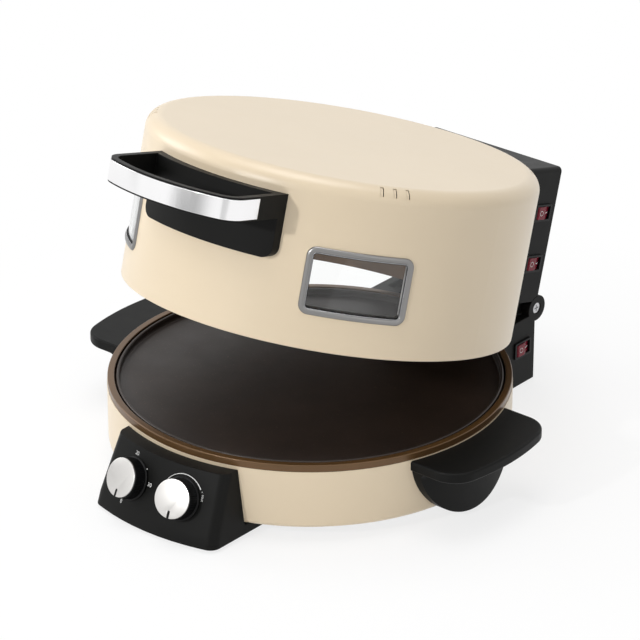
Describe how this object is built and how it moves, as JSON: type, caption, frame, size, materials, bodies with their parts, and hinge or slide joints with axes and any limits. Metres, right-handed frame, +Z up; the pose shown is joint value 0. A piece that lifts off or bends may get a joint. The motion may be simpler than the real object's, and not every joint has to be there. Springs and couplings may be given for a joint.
{
  "type": "pizza maker",
  "caption": "Electric countertop pizza maker with a round stone in a low base, a windowed dome lid on a rear hinge, side and lid handles, two front dials and rocker switches",
  "frame": {"origin": "under the middle of the bounding box at rest, at the height of the counter it stands on", "axes": "front with the dials is -Y, right as seen from the front is +X, up is +Z"},
  "size_m": [0.437, 0.4775, 0.3152],
  "materials": {
    "cream_enamel": "satin",
    "bronze_coating": "satin",
    "glazed_stone": "satin",
    "sheet_steel": "satin",
    "heater_steel": "satin",
    "screw_steel": "polished",
    "foot_rubber": "matte",
    "ceramic": "matte",
    "black_plastic": "satin",
    "black_gloss": "gloss",
    "knob_metal": "satin",
    "bright_trim": "polished",
    "grey_frame": "satin",
    "window_glass": "gloss",
    "red_rocker": "gloss"
  },
  "bodies": {
    "base": {"base_shell": "cream_enamel", "bottom_cover": "sheet_steel", "bottom_screws": "screw_steel", "feet": "foot_rubber", "bowl_liner": "bronze_coating", "lower_heater": "heater_steel", "lower_heater_clips": "sheet_steel", "lower_heater_bushings": "ceramic", "thermal_cutout": "black_gloss", "right_handle": "black_plastic", "left_handle": "black_plastic", "side_handle_screws": "screw_steel", "control_housing": "black_plastic", "control_housing_cover": "black_plastic", "control_cover_screws": "screw_steel", "timer_unit": "sheet_steel", "thermostat_unit": "sheet_steel", "base_rear_housing": "black_plastic", "base_rear_cover": "black_plastic", "base_cover_screws": "screw_steel", "cord_grommet": "foot_rubber", "hinge_screws": "screw_steel", "base_switch_body": "black_gloss"},
    "lid": {"lid_shell": "cream_enamel", "lid_liner": "bronze_coating", "upper_heaters": "heater_steel", "upper_heater_hangers": "sheet_steel", "upper_heater_bushings": "ceramic", "window_frame_right": "grey_frame", "window_frame_left": "grey_frame", "window_glass_right": "window_glass", "window_glass_left": "window_glass", "lid_handle": "black_plastic", "lid_handle_trim": "bright_trim", "lid_handle_screws": "screw_steel", "lid_rear_housing": "black_plastic", "lid_rear_cover": "black_plastic", "lid_cover_screws": "screw_steel", "hinge_barrel": "black_plastic", "lid_switch_bodies": "black_gloss"},
    "timer": {"timer_shaft": "screw_steel", "timer_knob": "black_gloss", "timer_cap": "knob_metal"},
    "thermostat": {"thermostat_shaft": "screw_steel", "thermostat_knob": "black_gloss", "thermostat_cap": "knob_metal"},
    "base_rocker": {"base_rocker": "red_rocker"},
    "lower_rocker": {"lower_rocker": "red_rocker"},
    "upper_rocker": {"upper_rocker": "red_rocker"},
    "baking_stone": {"baking_stone": "glazed_stone"}
  },
  "joints": [
    {"name": "lid_hinge", "type": "hinge", "parent": "base", "child": "lid", "pos_m": [0, 0.20652, 0.069], "axis": [-1, 0, 0], "range_deg": [-15.3, 64.7]},
    {"name": "timer_turn", "type": "hinge", "parent": "base", "child": "timer", "pos_m": [-0.027, -0.21884, 0.037], "axis": [0.1237, 0.9042, -0.4088], "range_deg": [0, 270]},
    {"name": "thermostat_turn", "type": "hinge", "parent": "base", "child": "thermostat", "pos_m": [0.027, -0.21884, 0.037], "axis": [-0.1237, 0.9042, -0.4088], "range_deg": [0, 270]},
    {"name": "base_rocker_tilt", "type": "hinge", "parent": "base", "child": "base_rocker", "pos_m": [0.0698, 0.18552, 0.037], "axis": [0, 0, -1], "range_deg": [0, 20]},
    {"name": "lower_rocker_tilt", "type": "hinge", "parent": "lid", "child": "lower_rocker", "pos_m": [0.0698, 0.19767, 0.11621], "axis": [0, -0.2639, -0.9646], "range_deg": [0, 20]},
    {"name": "upper_rocker_tilt", "type": "hinge", "parent": "lid", "child": "upper_rocker", "pos_m": [0.0698, 0.21002, 0.16135], "axis": [0, -0.2639, -0.9646], "range_deg": [0, 20]},
    {"name": "stone_lift", "type": "slide", "parent": "base", "child": "baking_stone", "axis": [0, 0, 1], "range_m": [0, 0.016]}
  ]
}
